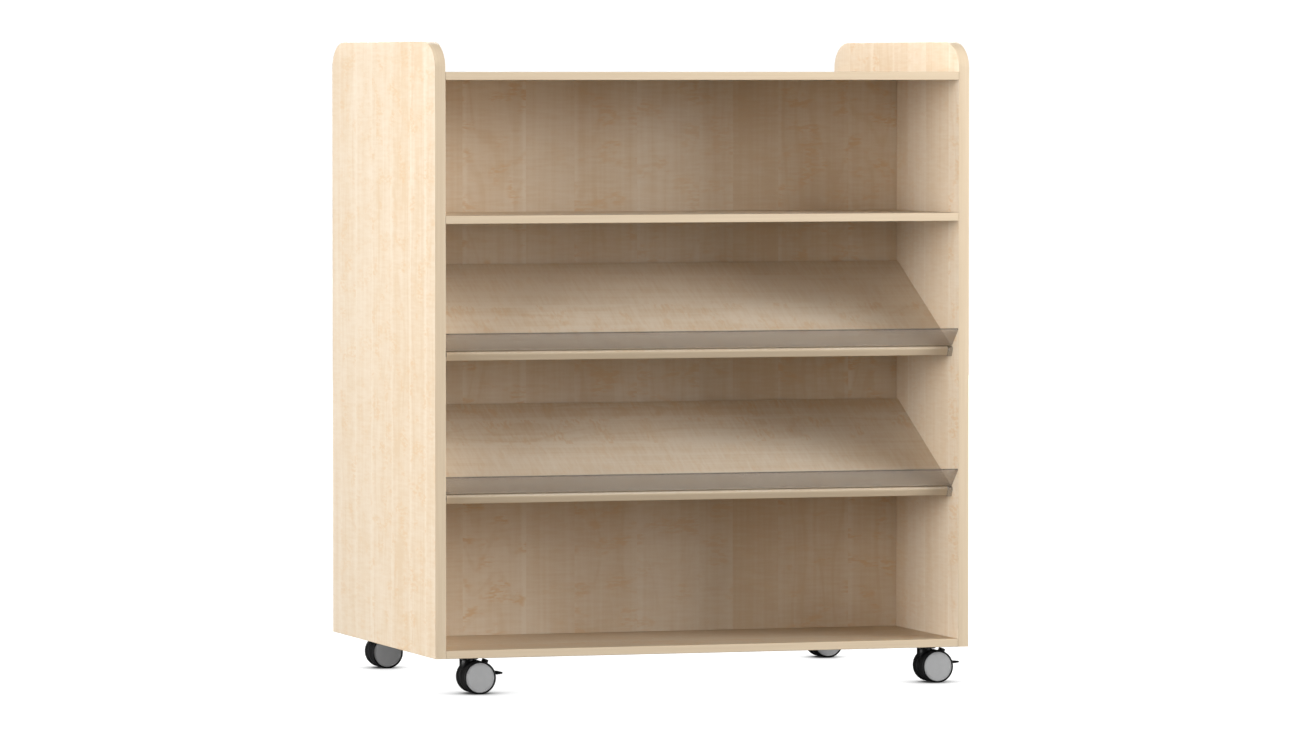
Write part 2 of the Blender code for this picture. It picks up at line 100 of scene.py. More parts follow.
class Wire:
    """An output socket of a node tree that takes part in arithmetic."""

    def __init__(self, sheet, socket):
        self.sheet = sheet
        self.socket = socket

    def other(self, output):
        """Another output of the same node."""
        return Wire(self.sheet, self.socket.node.outputs[output])

    def maths(self, operation, *values):
        return self.sheet.add("ShaderNodeMath", {"operation": operation}, dict(enumerate(values)))

    def __add__(self, value):
        return self.maths("ADD", self, value)

    def __sub__(self, value):
        return self.maths("SUBTRACT", self, value)

    def __rsub__(self, value):
        return self.maths("SUBTRACT", value, self)

    def __mul__(self, value):
        return self.maths("MULTIPLY", self, value)

    def __truediv__(self, value):
        return self.maths("DIVIDE", self, value)

    def __abs__(self):
        return self.maths("ABSOLUTE", self)

    __radd__ = __add__
    __rmul__ = __mul__

    def sine(self):
        return self.maths("SINE", self)

    def rise(self, low, high):
        """0 at `low`, 1 at `high` and a smooth step between them."""
        settings = {"interpolation_type": "SMOOTHSTEP"}
        sockets = {"Value": self, "From Min": low, "From Max": high}
        return self.sheet.add("ShaderNodeMapRange", settings, sockets)


# %% Sheets


class Sheet:
    """A node tree that nodes are added to by type, settings and sockets."""

    def __init__(self, tree):
        self.tree = tree

    def add(self, kind, settings=None, sockets=None, output=0):
        node = self.tree.nodes.new(kind)
        for name, value in (settings or {}).items():
            if name == "stops":
                self.set_stops(node.color_ramp.elements, value)
            else:
                setattr(node, name, value)
        for name, value in (sockets or {}).items():
            if isinstance(value, Wire):
                self.tree.links.new(value.socket, node.inputs[name])
            else:
                node.inputs[name].default_value = value
        return Wire(self, node.outputs[output]) if node.outputs else None

    @staticmethod
    def set_stops(elements, stops):
        while len(elements) < len(stops):
            elements.new(1.0)
        for element, (position, colour) in zip(elements, stops):
            element.position = position
            element.color = (*colour, 1.0)

    def vector(self, x, y, z):
        return self.add("ShaderNodeCombineXYZ", sockets={0: x, 1: y, 2: z})

    def stretch(self, vector, scale):
        sockets = {0: vector, 1: scale}
        return self.add("ShaderNodeVectorMath", {"operation": "MULTIPLY"}, sockets)

    def dot(self, vector, direction):
        sockets = {0: vector, 1: tuple(direction)}
        return self.add("ShaderNodeVectorMath", {"operation": "DOT_PRODUCT"}, sockets, "Value")

    def noise(self, place, detail):
        sockets = {"Vector": place, "Scale": 1.0, "Detail": detail}
        return self.add("ShaderNodeTexNoise", sockets=sockets)

    def ramp(self, value, *stops):
        return self.add("ShaderNodeValToRGB", {"stops": stops}, {0: value})

    def mix(self, factor, first, second):
        """A colour between two; a Mix node keeps its colour sockets at places 6, 7 and 2."""
        sockets = {0: factor, 6: first, 7: second}
        return self.add("ShaderNodeMix", {"data_type": "RGBA"}, sockets, 2)

    def bump(self, height, distance, strength):
        sockets = {"Height": height, "Distance": distance, "Strength": strength}
        return self.add("ShaderNodeBump", sockets=sockets)


# %% [markdown]
# Starting a finish
#
# Every finish is a Principled shader. What varies over a surface is wired in, and a value that is
# the same everywhere is typed into the shader's own socket.

# %% New finish


def new_finish(name, **constants):
    """A material, its sheet and its shader node, with constant sockets set by name."""
    material = bpy.data.materials.new(name)
    material.use_nodes = True
    shader = material.node_tree.nodes["Principled BSDF"]
    for socket, value in constants.items():
        shader.inputs[socket.replace("_", " ")].default_value = value
    return material, Sheet(material.node_tree), shader


def wire_up(shader, **wires):
    """Links wires to the shader's sockets, whose names have _ for a space."""
    for socket, wire in wires.items():
        wire.sheet.tree.links.new(wire.socket, shader.inputs[socket.replace("_", " ")])


def paint(node, material):
    """Gives a frame node its finish."""
    nodes[node].material_slots[0].material = material


# %% [markdown]
# Floor and light
#
# The picture shows the trolley on plain white, with a soft shadow only where a wheel touches. The
# sky hardly lights anything, though the camera sees it as white, and the floor does the same: what
# the camera sees of it glows, except in a small hollow such as the one beside a wheel, where its
# light is darkened into a painted contact shadow. Soft panels do the lighting, most of them so far
# away that their light doesn't fade across the trolley. Those on the left make the outer side the
# brightest face and reach the ears, those on the right slant into the bays, a near one makes the
# upper edges brighter than the lower ones, and two behind light the other front. From below, the
# floor can be seen through.

# %% Sky and floor
SKY_LIGHT = 0.02
SKY_SEEN = 1.05
FLOOR_HALF = 14.0
FLOOR_COLOUR = (0.06, 0.06, 0.06, 1.0)
FLOOR_ROUGHNESS = 0.9
CONTACT_REACH = 0.068
CONTACT_SHADE = (0.02, 0.02, 0.02)
CONTACT_DARKEST = 0.22
CONTACT_GONE = 0.97
BLACK = (0.0, 0.0, 0.0, 1.0)
WHITE = (1.0, 1.0, 1.0, 1.0)


def add_sky():
    """A dim white sky to light with, which the camera sees as plain white."""
    world = bpy.data.worlds.new("white_sky")
    world.use_nodes = True
    sheet = Sheet(world.node_tree)
    seen = sheet.add("ShaderNodeLightPath", output="Is Camera Ray")
    background = world.node_tree.nodes["Background"]
    background.inputs["Color"].default_value = WHITE
    wire_up(background, Strength=SKY_LIGHT + seen * (SKY_SEEN - SKY_LIGHT))
    bpy.context.scene.world = world


def add_floor():
    """A pale floor, white to the camera but for painted shadow by a wheel, and clear from below."""
    bm = bmesh.new()
    bmesh.ops.create_grid(bm, x_segments=1, y_segments=1, size=FLOOR_HALF)
    mesh = bpy.data.meshes.new("studio_floor")
    bm.to_mesh(mesh)
    bm.free()
    floor = bpy.data.objects.new("studio_floor", mesh)
    bpy.context.scene.collection.objects.link(floor)
    finish, sheet, shader = new_finish("studio_white", Base_Color=FLOOR_COLOUR,
                                       Roughness=FLOOR_ROUGHNESS, Emission_Strength=1.0)
    seen = sheet.add("ShaderNodeLightPath", output="Is Camera Ray")
    # The ambient occlusion darkens what the camera sees beside a wheel: a painted contact shadow on
    # the floor.
    reach = {"Distance": CONTACT_REACH}
    open_sky = sheet.add("ShaderNodeAmbientOcclusion", sockets=reach, output="AO")
    painted_shadow_glow = sheet.ramp(open_sky, (CONTACT_DARKEST, CONTACT_SHADE), (CONTACT_GONE, WHITE[:3]))
    below = sheet.add("ShaderNodeNewGeometry", output="Backfacing")
    wire_up(shader, Emission_Color=sheet.mix(seen, BLACK, painted_shadow_glow), Alpha=1.0 - seen * below)
    mesh.materials.append(finish)


bpy.context.scene.view_settings.view_transform = "Standard"
add_sky()
add_floor()
print("floor of", 2 * FLOOR_HALF, "m under a white sky")

# %% Soft panels
MIDDLE = Vector((0.0, 0.0, 0.65))
FAR_DISTANCE = 24.0
FAR_SIZE = 8.0
FAR_PANELS = {
    # azimuth, elevation, light
    "left_panel": (-80, 4, 0.84),
    "front_left_panel": (-56, 4, 0.37),
    "high_left_panel": (-106, 42, 0.65),
    "front_right_panel": (56, 4, 0.55),
    "right_panel": (68, 14, 0.43),
    "rear_panel": (172, 18, 0.55),
    "rear_right_panel": (150, 8, 0.60),
}
NEAR_DISTANCE = 3.6
NEAR_SIZE = 1.6
NEAR_PANEL = (45, 25, 0.34)


def add_soft_panel(name, azimuth, elevation, light, distance, size):
    """A square lamp aimed at the trolley; the azimuth turns right from straight in front."""
    data = bpy.data.lights.new(name, "AREA")
    data.shape = "SQUARE"
    data.size = size
    data.energy = light * (pi * distance) ** 2
    lamp = bpy.data.objects.new(name, data)
    turn = radians(azimuth)
    tilt = radians(elevation)
    away = Vector((sin(turn) * cos(tilt), -cos(turn) * cos(tilt), sin(tilt)))
    lamp.location = MIDDLE + away * distance
    lamp.rotation_euler = away.to_track_quat("Z", "Y").to_euler()
    bpy.context.scene.collection.objects.link(lamp)
    return lamp


for name, aim in FAR_PANELS.items():
    add_soft_panel(name, *aim, FAR_DISTANCE, FAR_SIZE)
near_panel = add_soft_panel("near_panel", *NEAR_PANEL, NEAR_DISTANCE, NEAR_SIZE)
near_panel.visible_glossy = False

# %% [markdown]
# Maple laminate
#
# The boards are chipboard faced with a printed maple sheet. The print shows leaves of veneer side
# by side, each a shade apart, with streaks along the grain, faint growth lines, a fine ripple across
# the grain and orange flecks that are wider than they are long. An image could hold it, but a formula
# on the board's own directions never repeats: `across`, `along` and `through` are those directions.
# The narrow edges carry a plain band of the same maple, so their tone is calmer.

# %% Maple tones and figure
MAPLE_PALE = (0.740, 0.640, 0.512)
MAPLE_MEAN = (0.705, 0.585, 0.445)
MAPLE_TAN = (0.665, 0.520, 0.362)
MAPLE_FLECK = (0.670, 0.478, 0.290, 1.0)
BAND_TAN = (0.730, 0.576, 0.397)
BAND_PALE = (0.822, 0.674, 0.490)
# The colour that the slanted shelves' edge bands are darkened toward, as painted shade.
BAND_PAINTED_SHADE = (0.300, 0.225, 0.145, 1.0)
LEAF_WIDTH = 0.120
LEAF_SHIFT = 9.0
SEED_SKEW = 1.7
GROWTH_LINES = 62.0
PLAIN_LEAF_FLECKS = 0.25
PORE_DEPTH = 0.00006
PORE_STRENGTH = 0.35
MAPLE_ROUGHNESS = 0.50
ROUGHNESS_SWING = 0.12
FACE_STOPS = ((0.10, MAPLE_TAN), (0.50, MAPLE_MEAN), (0.90, MAPLE_PALE))
BAND_STOPS = ((0.0, BAND_TAN), (1.0, BAND_PALE))
BAND_STREAKS = (260.0, 5.0, 3.0)

FIGURE = {
    # width across the grain, length along it, detail
    "streaks": (0.017, 0.480, 3.0),
    "lines": (0.0065, 0.350, 2.0),
    "clouds": (0.075, 0.130, 3.0),
    "ripple": (0.048, 0.0058, 1.0),
    "pores": (0.0012, 0.045, 1.0),
    "growth": (0.130, 0.450, 1.0),
    "clusters": (0.062, 0.045, 2.0),
    "dashes": (0.019, 0.0055, 2.0),
}
WEIGHT = {"streaks": 0.74, "lines": 0.46, "clouds": 0.55, "leaf": 0.38, "ripple": 0.66,
          "growth": 0.18, "sapwood": 0.36, "pores": 0.08}
FADE = {
    # where a smooth step starts and ends
    "sapwood": (0.03, 0.12),
    "figured": (0.15, 0.75),
    "growth": (0.45, 1.0),
    "clusters": (0.50, 0.64),
    "dashes": (0.42, 0.60),
    "face": (0.55, 0.75),
}
print("the print has", len(FIGURE), "kinds of mark on leaves", LEAF_WIDTH, "m wide")

# %% Maple


def maple(name, across, along, seed, shade=0.0, painted_edge_shade=0.0, fleck=0.90, vivid=1.0):
    """Printed maple on a board's faces and a calmer maple band on its edges.

    `shade` makes the whole board paler or darker, partly as its own tone and partly as painted
    light or shade; `painted_edge_shade` darkens the band as painted shade, `fleck` is the strength of
    the orange flecks, and `vivid` that of the rest of the figure.
    """
    through = Vector(across).cross(Vector(along))
    material, sheet, shader = new_finish(name, Specular_IOR_Level=0.35)
    place = sheet.add("ShaderNodeTexCoord", output="Object")
    facing = abs(sheet.dot(place.other("Normal"), through))
    u = sheet.dot(place, across) + seed
    v = sheet.dot(place, along) + seed * SEED_SKEW
    w = sheet.dot(place, through)

    leaves = {"W": u / LEAF_WIDTH, "Scale": 1.0, "Randomness": 1.0}
    cell = sheet.add("ShaderNodeTexVoronoi", {"voronoi_dimensions": "1D"}, leaves, "Color")
    border = sheet.add("ShaderNodeTexVoronoi", {"voronoi_dimensions": "1D",
                                                "feature": "DISTANCE_TO_EDGE"}, leaves, "Distance")
    leaf_tone = sheet.add("ShaderNodeSeparateColor", sockets={0: cell})
    sapwood = (1.0 - border.rise(*FADE["sapwood"])) * leaf_tone.other("Blue")
    figured = leaf_tone.other("Blue").rise(*FADE["figured"])
    v_leaf = v + leaf_tone.other("Green") * LEAF_SHIFT

    mark = {"leaf": leaf_tone}
    for kind, (width, length, detail) in FIGURE.items():
        mark[kind] = sheet.noise(sheet.vector(u / width, v_leaf / length, w / width), detail)
    growth = (mark["growth"] * GROWTH_LINES).sine().rise(*FADE["growth"])
    clusters = mark["clusters"].rise(*FADE["clusters"])
    dashes = mark["dashes"].rise(*FADE["dashes"])

    def swing(kind):
        """A mark's lighter and darker parts, as a step either way from the middle tone."""
        return (mark[kind] - 0.5) * WEIGHT[kind]

    tone = swing("streaks") + swing("lines") + swing("clouds") + swing("leaf") + swing("ripple")
    tone = tone - growth * figured * WEIGHT["growth"] + sapwood * WEIGHT["sapwood"] + swing("pores")
    tone = 0.5 + shade + tone * vivid
    face = sheet.ramp(tone, *FACE_STOPS)
    flecks = clusters * dashes * (PLAIN_LEAF_FLECKS + figured * (1.0 - PLAIN_LEAF_FLECKS))
    face = sheet.mix(flecks * fleck, face, MAPLE_FLECK)

    fine, slow, drift = BAND_STREAKS
    lengthwise = sheet.noise(sheet.vector(w * fine, (u + v) * slow, u * drift), 2.0)
    band = sheet.ramp(lengthwise, *BAND_STOPS)
    # Painted shade: on the slanted shelves the band is darkened, as their down-facing front edges get
    # less light.
    band = sheet.mix(painted_edge_shade, band, BAND_PAINTED_SHADE)
    is_face = facing.rise(*FADE["face"])
    wire_up(shader, Base_Color=sheet.mix(is_face, band, face),
            Roughness=MAPLE_ROUGHNESS + (mark["streaks"] - 0.5) * ROUGHNESS_SWING,
            Normal=sheet.bump(mark["pores"] * is_face, PORE_DEPTH, PORE_STRENGTH))
    return material


# %% Boards
X_WAY = Vector((1, 0, 0))
Y_WAY = Vector((0, 1, 0))
Z_WAY = Vector((0, 0, 1))
SHELF_SLOPE = radians(26.5)
UPHILL_FRONT = Vector((0, cos(SHELF_SLOPE), sin(SHELF_SLOPE)))
UPHILL_REAR = Vector((0, -cos(SHELF_SLOPE), sin(SHELF_SLOPE)))
SEED_STEP = 3.1

BOARD_GRAIN = {
    "left_side_panel": (Y_WAY, Z_WAY),
    "right_side_panel": (Y_WAY, Z_WAY),
    "centre_divider": (X_WAY, Z_WAY),
    "top_panel": (Y_WAY, X_WAY),
    "bottom_panel": (Y_WAY, X_WAY),
    "front_flat_shelf": (Y_WAY, X_WAY),
    "rear_flat_shelf": (Y_WAY, X_WAY),
    "front_upper_slanted_shelf": (UPHILL_FRONT, X_WAY),
    "front_lower_slanted_shelf": (UPHILL_FRONT, X_WAY),
    "rear_upper_slanted_shelf": (UPHILL_REAR, X_WAY),
    "rear_lower_slanted_shelf": (UPHILL_REAR, X_WAY),
}
# Partly painted: the divider and the bottom panel are darker as painted shade, where the bays and the
# lowest shelf get little light.
BOARD_LOOK = {
    "left_side_panel": {"seed": 3.53, "shade": -0.02, "fleck": 0.70},
    "right_side_panel": {"shade": -0.05, "fleck": 0.80},
    "centre_divider": {"shade": -0.15},
    "bottom_panel": {"shade": -0.35},
}
# The slanted shelves are paler as painted light on their fronts, and their bands darker as painted
# shade.
SLANTED_LOOK = {"painted_edge_shade": 0.28, "shade": 0.12, "fleck": 0.65, "vivid": 1.45}
maple_of = {}
for number, (board, (across, along)) in enumerate(BOARD_GRAIN.items()):
    look = {"seed": SEED_STEP * (number + 1)}
    look.update(SLANTED_LOOK if board.endswith("slanted_shelf") else BOARD_LOOK.get(board, {}))
    maple_of[board] = maple(f"maple_{board}", across, along, **look)
    paint(board, maple_of[board])
print(len(maple_of), "boards have their own piece of maple")

# %% [markdown]
# Smoked acrylic
#
# A clear grey strip stands along the front of each slanted shelf and keeps the books from sliding
# off. Glass that bends light would cost many samples and cast hard shadows, so the strip is a thin
# dark film: each face lets most light through, the sawn top edge is darker, and a narrow band at the
# foot is clearer, because the wall of the groove behind it would show there as a dark line.

# %% Acrylic
SMOKE = (0.422, 0.374, 0.328)
SMOKE_HAZE = (0.467, 0.417, 0.368)
SMOKE_EDGE = (0.055, 0.055, 0.060, 1.0)
FACE_ALPHA = 0.36
EDGE_ALPHA = 0.64
FOOT_ALPHA = 0.08
FOOT_BAND = (0.0010, 0.0032)
EDGE_TURN = (0.60, 0.80)
HAZE_SCALE = (30.0, 200.0, 200.0)
HAZE_STOPS = ((0.3, SMOKE), (0.8, SMOKE_HAZE))
HAZE_ALPHA = 0.04
HAZE_ROUGHNESS = 0.08
ACRYLIC_ROUGHNESS = 0.14
SAWN_ROUGHNESS = 0.2
LIP_LEAN = radians(48.5)
LIP_WAY = {"front": Vector((0, -sin(LIP_LEAN), cos(LIP_LEAN))),
           "rear": Vector((0, sin(LIP_LEAN), cos(LIP_LEAN)))}


def shelf_level(node, uphill):
    """The way off the shelf's top and how far the top lies along it."""
    off = X_WAY.cross(uphill) if uphill.y > 0 else uphill.cross(X_WAY)
    return off, max(off.dot(nodes[node].matrix_world @ v.co) for v in nodes[node].data.vertices)


def smoked_acrylic(name, lean, off, level):
    """A strip of clear grey plastic whose sawn edge faces the way `lean`; its foot is clearer."""
    material, sheet, shader = new_finish(name, IOR=1.49, Specular_IOR_Level=0.20)
    place = sheet.add("ShaderNodeTexCoord", output="Object")
    edge = sheet.dot(place.other("Normal"), lean).rise(*EDGE_TURN)
    haze = sheet.noise(sheet.stretch(place, HAZE_SCALE), 3.0)
    tint = sheet.ramp(haze, *HAZE_STOPS)
    standing = (sheet.dot(place, off) - level).rise(*FOOT_BAND)
    film = FOOT_ALPHA + standing * (FACE_ALPHA - FOOT_ALPHA)
    wire_up(shader, Base_Color=sheet.mix(edge, tint, SMOKE_EDGE),
            Alpha=film + edge * (EDGE_ALPHA - FACE_ALPHA) + (haze - 0.5) * HAZE_ALPHA,
            Roughness=ACRYLIC_ROUGHNESS + haze * HAZE_ROUGHNESS + edge * SAWN_ROUGHNESS)
    return material


for side, uphill in (("front", UPHILL_FRONT), ("rear", UPHILL_REAR)):
    for tier in ("upper", "lower"):
        off, level = shelf_level(f"{side}_{tier}_slanted_shelf", uphill)
        lip = f"{side}_{tier}_shelf_lip"
        paint(lip, smoked_acrylic(f"smoked_{lip}", LIP_WAY[side], off, level))
low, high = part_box("front_upper_shelf_lip")
print("each lip is", round(high.x - low.x, 3), "m long and", round(high.z - low.z, 3), "m tall")

# %% [markdown]
# Caster finishes
#
# Moulded black nylon has a fine spark-eroded grain, a tread is duller and picks up dust where it
# rolls, the hub discs are satin grey, and the hidden pins are bright zinc. Wheels turn, so their
# patterns can't depend on the room: a turned piece carries `from_axle`, the distance of each point
# from its axle, and the finish reads that.

# %% Plastics
NYLON_TONES = ((0.0040, 0.0040, 0.0043), (0.0085, 0.0085, 0.0089))
TREAD_TONES = ((0.0032, 0.0032, 0.0034), (0.0070, 0.0070, 0.0072))
TREAD_STOPS = (0.3, 0.8)
TREAD_DUST = (0.0200, 0.0195, 0.0190, 1.0)
TREAD_PATCHES = 240.0
TREAD_GRAIN = 2600.0
TREAD_GRAIN_DEPTH = 0.00004
TREAD_GRAIN_STRENGTH = 0.5
TREAD_ROUGHNESS = 0.50
ROLLED_ROUGHNESS = 0.2
PATCH_ROUGHNESS = 0.1
ROLLED_BAND = (0.0012, 0.0002)
DUST_FADE = (0.45, 0.75)
DUST_MOST = 0.6
DISC_TONES = ((0.424, 0.426, 0.429), (0.470, 0.471, 0.473))
BUSH_TONES = ((0.70, 0.69, 0.66), (0.58, 0.56, 0.52))
CLOUDS = 90.0
CLOUD_SHARE = 0.6
CLOUD_ROUGHNESS = 0.16
TONE_STOPS = (0.3, 0.75)
GRAIN_STRENGTH = 0.6
WHEEL_R = joint_place["outer_roll_front_left"].z


def moulded(name, tones, roughness, grain, depth, **constants):
    """A slow change between two tones and a fine grain, as many as `grain` to the metre."""
    material, sheet, shader = new_finish(name, **constants)
    place = sheet.add("ShaderNodeTexCoord", output="Object")
    slow = sheet.noise(sheet.stretch(place, (CLOUDS, CLOUDS, CLOUDS)), 2.0)
    fine = sheet.noise(sheet.stretch(place, (grain, grain, grain)), 1.0)
    tone = slow * CLOUD_SHARE + fine * (1.0 - CLOUD_SHARE)
    wire_up(shader, Base_Color=sheet.ramp(tone, *zip(TONE_STOPS, tones)),
            Roughness=roughness + (slow - 0.5) * CLOUD_ROUGHNESS,
            Normal=sheet.bump(fine, depth, GRAIN_STRENGTH))
    return material


def dusty_tread(name):
    """Black tread, dusty on the part that rolls on the floor."""
    material, sheet, shader = new_finish(name, Specular_IOR_Level=0.25)
    place = sheet.add("ShaderNodeTexCoord", output="Object")
    radius = sheet.add("ShaderNodeAttribute", {"attribute_name": "from_axle"}, output="Fac")
    rolls = radius.rise(*(WHEEL_R - below for below in ROLLED_BAND))
    patches = sheet.noise(sheet.stretch(place, (TREAD_PATCHES, TREAD_PATCHES, TREAD_PATCHES)), 4.0)
    fine = sheet.noise(sheet.stretch(place, (TREAD_GRAIN, TREAD_GRAIN, TREAD_GRAIN)), 1.0)
    black = sheet.ramp(fine, *zip(TREAD_STOPS, TREAD_TONES))
    dusty = rolls * patches.rise(*DUST_FADE) * DUST_MOST
    wire_up(shader, Base_Color=sheet.mix(dusty, black, TREAD_DUST),
            Roughness=TREAD_ROUGHNESS + rolls * ROLLED_ROUGHNESS + (patches - 0.5) * PATCH_ROUGHNESS,
            Normal=sheet.bump(fine, TREAD_GRAIN_DEPTH, TREAD_GRAIN_STRENGTH))
    return material


black_nylon = moulded("black_nylon", NYLON_TONES, roughness=0.34, grain=2600.0, depth=0.00004,
                      Specular_IOR_Level=0.35)
grey_disc = moulded("grey_disc", DISC_TONES, roughness=0.38, grain=3200.0, depth=0.00002)
white_nylon = moulded("white_nylon", BUSH_TONES, roughness=0.50, grain=1800.0, depth=0.00003)
black_tread = dusty_tread("black_tread")
print("plastics:", [m.name for m in (black_nylon, grey_disc, white_nylon, black_tread)])

# %% Metals
COAT_TONES = ((0.0150, 0.0150, 0.0155), (0.0260, 0.0260, 0.0265))
ZINC_TONES = ((0.44, 0.45, 0.46), (0.60, 0.61, 0.63))
black_steel = moulded("black_steel", COAT_TONES, roughness=0.44, grain=900.0, depth=0.00005,
                      Metallic=0.3)
zinc_steel = moulded("zinc_steel", ZINC_TONES, roughness=0.32, grain=1400.0, depth=0.00001,
                     Metallic=1.0)

CORNERS = [f"{row}_{column}" for row in ("front", "rear") for column in ("left", "right")]
BRAKED = [corner for corner in CORNERS if corner.startswith("front")]
for corner in CORNERS:
    paint(f"caster_plate_{corner}", black_steel)
    paint(f"king_pin_{corner}", zinc_steel)
    paint(f"axle_{corner}", zinc_steel)
    paint(f"swivel_bush_{corner}", white_nylon)
for corner in BRAKED:
    paint(f"brake_pin_{corner}", zinc_steel)
print("metals:", black_steel.name, zinc_steel.name)

# %% [markdown]
# Finer side boards
#
# The two side boards rise above the top and end in rounded ears. Their outline is drawn again with
# more points along the oval, and a fine rounding runs round both faces as the edge band has it.

# %% Finished pieces
CREASE = radians(35)


def add_piece(name, mesh, body, replaced=()):
    """Puts a finished mesh in the scene, riding on a body, perhaps in place of some frame nodes."""
    piece = bpy.data.objects.new(name, mesh)
    bpy.context.scene.collection.objects.link(piece)
    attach(piece, body)
    if replaced:
        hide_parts(*replaced)
    return piece


def mesh_from(name, bm, material):
    """A plain mesh with smooth shading that breaks at sharp edges."""
    mesh = bpy.data.meshes.new(name)
    bm.to_mesh(mesh)
    bm.free()
    mesh.materials.append(material)
    mesh.shade_smooth()
    mesh.set_sharp_from_angle(angle=CREASE)
    return mesh


def extruded(outline, start, length):
    """A closed YZ outline pushed along X from `start`, with its faces always in the same order."""
    bm = bmesh.new()
    near, far = [[bm.verts.new((x, y, z)) for y, z in outline] for x in (start, start + length)]
    bm.faces.new(near)
    bm.faces.new(far[::-1])
    for i in range(len(outline)):
        j = (i + 1) % len(outline)
        bm.faces.new((near[j], near[i], far[i], far[j]))
    bm.normal_update()
    return bm


print("shading breaks at edges sharper than", round(CREASE, 2), "radians")

# %% Side boards
EAR_RUN = 0.085
EAR_RISE = 0.053
EAR_STEPS = 28
EDGE_EASE = 0.0012
EASE_STEPS = 3


def side_outline(low, high):
    """Corners of a side board in the YZ plane, with an oval at each upper corner."""
    points = [(low.y, low.z), (high.y, low.z)]
    for start, centre_y in ((0.0, high.y - EAR_RUN), (pi / 2, low.y + EAR_RUN)):
        for step in range(EAR_STEPS + 1):
            angle = start + pi / 2 * step / EAR_STEPS
            rise = EAR_RISE * sin(angle)
            points.append((centre_y + EAR_RUN * cos(angle), high.z - EAR_RISE + rise))
    return points


def side_board(node):
    """The outline pushed through the board's thickness, with its rims rounded."""
    low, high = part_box(node)
    bm = extruded(side_outline(low, high), low.x, high.x - low.x)
    rims = [edge for edge in bm.edges if abs(edge.verts[0].co.x - edge.verts[1].co.x) < EDGE_EASE]
    bmesh.ops.bevel(bm, geom=rims, offset=EDGE_EASE, segments=EASE_STEPS, profile=0.5, affect="EDGES")
    bmesh.ops.recalc_face_normals(bm, faces=bm.faces)
    return bm


for side in ("left", "right"):
    node = f"{side}_side_panel"
    mesh = mesh_from(f"{side}_side_board", side_board(node), maple_of[node])
    add_piece(f"{side}_side_board", mesh, "carcass", [node])
    print(f"{side}_side_board", len(mesh.polygons), "faces")

# %% [markdown]
# Turned wheels and discs
#
# A wheel is a turned piece: one profile swept round the axle. That is a rule, so a Geometry Nodes
# tree makes all sixteen wheels and discs. It sweeps a profile round a tiny circle, closes the poles
# and the seam, stores each point's distance from the axle, and lays the piece on its axle.

# %% Turning tree
CORE_R = 0.001
CLOSE_ENOUGH = 0.000002


def turning_tree():
    """The tree that sweeps a profile round an axle and lays the piece in its place."""
    tree = bpy.data.node_groups.new("turned_piece", "GeometryNodeTree")
    for label, kind in (("Profile", "NodeSocketObject"), ("Sides", "NodeSocketInt"),
                        ("Place", "NodeSocketVector"), ("Turn", "NodeSocketRotation"),
                        ("Finish", "NodeSocketMaterial")):
        tree.interface.new_socket(label, in_out="INPUT", socket_type=kind)
    tree.interface.new_socket("Piece", in_out="OUTPUT", socket_type="NodeSocketGeometry")
    sheet = Sheet(tree)
    given = sheet.add("NodeGroupInput", output="Profile")
    drawn = sheet.add("GeometryNodeObjectInfo", sockets={"Object": given}, output="Geometry")
    profile = sheet.add("GeometryNodeMeshToCurve", sockets={"Mesh": drawn})
    circle = sheet.add("GeometryNodeCurvePrimitiveCircle",
                       sockets={"Resolution": given.other("Sides"), "Radius": CORE_R})
    swept = sheet.add("GeometryNodeCurveToMesh", sockets={"Curve": circle, "Profile Curve": profile})
    closed = sheet.add("GeometryNodeMergeByDistance",
                       sockets={"Geometry": swept, "Distance": CLOSE_ENOUGH})
    flat = sheet.stretch(sheet.add("GeometryNodeInputPosition"), (1.0, 1.0, 0.0))
    radius = sheet.add("ShaderNodeVectorMath", {"operation": "LENGTH"}, {0: flat}, "Value")
    measured = sheet.add("GeometryNodeStoreNamedAttribute", {"data_type": "FLOAT", "domain": "POINT"},
                         {"Geometry": closed, "Name": "from_axle", "Value": radius})
    laid = sheet.add("GeometryNodeTransform",
                     sockets={"Geometry": measured, "Translation": given.other("Place"),
                              "Rotation": given.other("Turn")})
    real = sheet.add("GeometryNodeRealizeInstances", sockets={"Geometry": laid})
    painted = sheet.add("GeometryNodeSetMaterial",
                        sockets={"Geometry": real, "Material": given.other("Finish")})
    sheet.add("NodeGroupOutput", sockets={"Piece": painted})
    return tree


turned_piece = turning_tree()
print("turning tree has", len(turned_piece.nodes), "nodes")

# %% Growing a mesh


def grow(name, tree, **inputs):
    """The plain mesh that a Geometry Nodes tree makes from the named inputs."""
    host = bpy.data.objects.new(name, bpy.data.meshes.new(name))
    bpy.context.scene.collection.objects.link(host)
    modifier = host.modifiers.new("grow", "NODES")
    modifier.node_group = tree
    for item in tree.interface.items_tree:
        if item.in_out == "INPUT":
            modifier[item.identifier] = inputs[item.name]
    bpy.context.view_layer.update()
    graph = bpy.context.evaluated_depsgraph_get()
    mesh = bpy.data.meshes.new_from_object(host.evaluated_get(graph))
    bpy.data.meshes.remove(host.data)
    bm = bmesh.new()
    bm.from_mesh(mesh)
    bmesh.ops.recalc_face_normals(bm, faces=bm.faces)
    bm.to_mesh(mesh)
    bm.free()
    mesh.name = name
    mesh.shade_smooth()
    mesh.set_sharp_from_angle(angle=CREASE)
    return mesh


# %% Wheel profile
WHEEL_BORE_R = 0.0033
WHEEL_HUB_R = 0.007
RIM_T = 0.0032
WEB_T = 0.003
DISC_RECESS = 0.008
TREAD_ROUND = 0.0024
LIP_ROUND = 0.0006
ROUND_STEPS = 6


def rounding(centre, radius, start, end):
    """Points of an arc in a profile, as (distance from the axle, distance along it)."""
    angles = [start + (end - start) * step / ROUND_STEPS for step in range(ROUND_STEPS + 1)]
    return [(centre[0] + radius * cos(a), centre[1] + radius * sin(a)) for a in angles]


